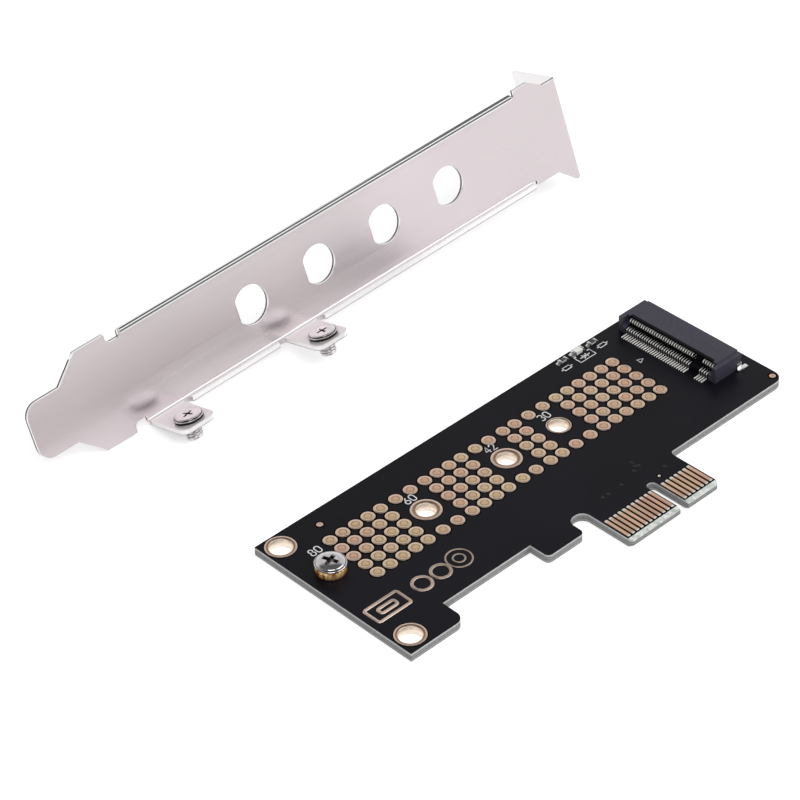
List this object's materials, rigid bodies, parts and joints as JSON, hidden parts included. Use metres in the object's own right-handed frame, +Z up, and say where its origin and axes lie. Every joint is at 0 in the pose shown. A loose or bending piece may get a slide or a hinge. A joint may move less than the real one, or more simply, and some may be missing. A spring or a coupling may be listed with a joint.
{
  "type": "nvme adapter card",
  "caption": "Low-profile card that carries a flat storage module in an angled socket and plugs into an edge slot, with its slot bracket unscrewed and lying beside it.",
  "frame": {"origin": "under the centre of the stand-off hole, on the plane of the board's underside, which is also the plane that the loose bracket rests on", "axes": "+X along the module towards its socket, +Y from the gold fingers to the back edge and the loose bracket, +Z up from the board"},
  "size_m": [0.121, 0.0912, 0.0236],
  "materials": {
    "solder_mask": "black solder mask over glass laminate, satin",
    "gold": "thin gold over copper, satin",
    "standoff_brass": "turned brass",
    "screw_nickel": "bright nickel",
    "socket_plastic": "black moulded plastic",
    "contact_gold": "gold over nickel",
    "solder_tin": "bright tin",
    "lamp_resin": "milky resin",
    "resistor_black": "dark glaze",
    "bracket_steel": "satin nickel plate"
  },
  "bodies": {
    "root": {"board": "solder_mask", "edge_contacts_top": "gold", "edge_contacts_bottom": "gold", "thermal_pads": "gold", "sight_marks": "gold", "length_hole_land_1": "gold", "length_hole_land_2": "gold", "length_hole_land_3": "gold", "bracket_hole_land_1": "gold", "bracket_hole_land_2": "gold", "standoff": "standoff_brass", "clamp_screw": "screw_nickel", "socket_housing": "socket_plastic", "upper_contacts": "contact_gold", "lower_contacts": "contact_gold", "solder_lugs": "solder_tin", "status_lamp_body": "lamp_resin", "status_lamp_terminals": "solder_tin", "resistor_1_body": "resistor_black", "resistor_1_terminals": "solder_tin", "resistor_2_body": "resistor_black", "resistor_2_terminals": "solder_tin", "slot_bracket": "bracket_steel", "bracket_screw_1": "screw_nickel", "bracket_screw_2": "screw_nickel"}
  },
  "joints": []
}
